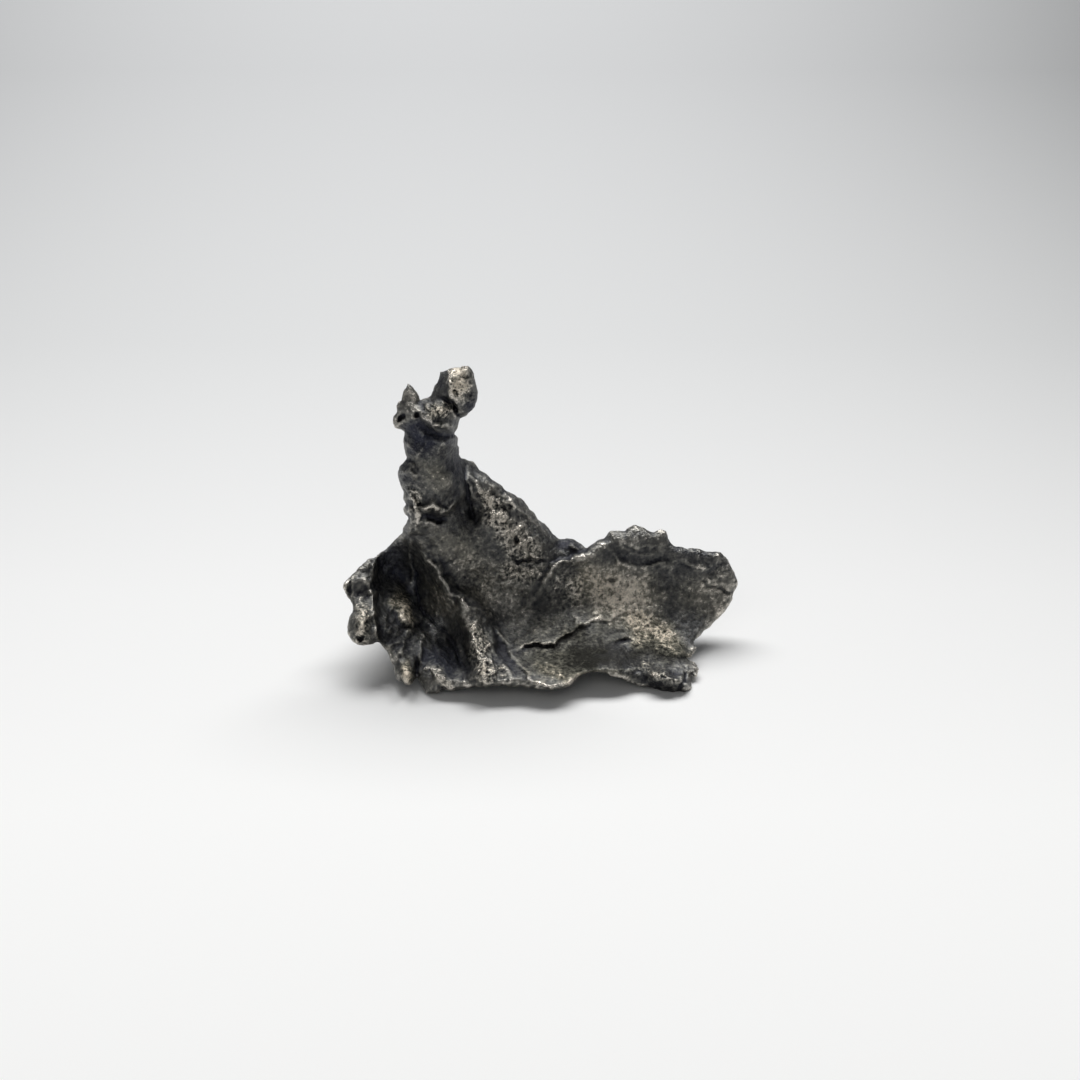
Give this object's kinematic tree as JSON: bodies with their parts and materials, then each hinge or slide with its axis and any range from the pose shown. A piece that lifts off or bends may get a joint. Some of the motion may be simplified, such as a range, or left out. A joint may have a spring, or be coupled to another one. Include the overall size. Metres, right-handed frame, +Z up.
{
  "type": "iron meteorite",
  "caption": "shrapnel piece of iron meteorite: a torn, crumpled metal sheet with a tall broken neck, a pitted slope, a smooth scoop, a wide dished lobe and a folded wing",
  "frame": {"origin": "centre of the bounding box's footprint, on the surface that the piece stands on", "axes": "+X right along the piece's width, from the folded wing to the wide lobe; +Y away from the viewer, from the front edge to the back; +Z up, from the feet to the head"},
  "size_m": [0.0596, 0.0284, 0.0475],
  "materials": {
    "meteoritic_iron": "dark gunmetal grey, bright and slightly warm where it is worn, pitted"
  },
  "bodies": {
    "root": {"meteorite": "meteoritic_iron"}
  },
  "joints": []
}
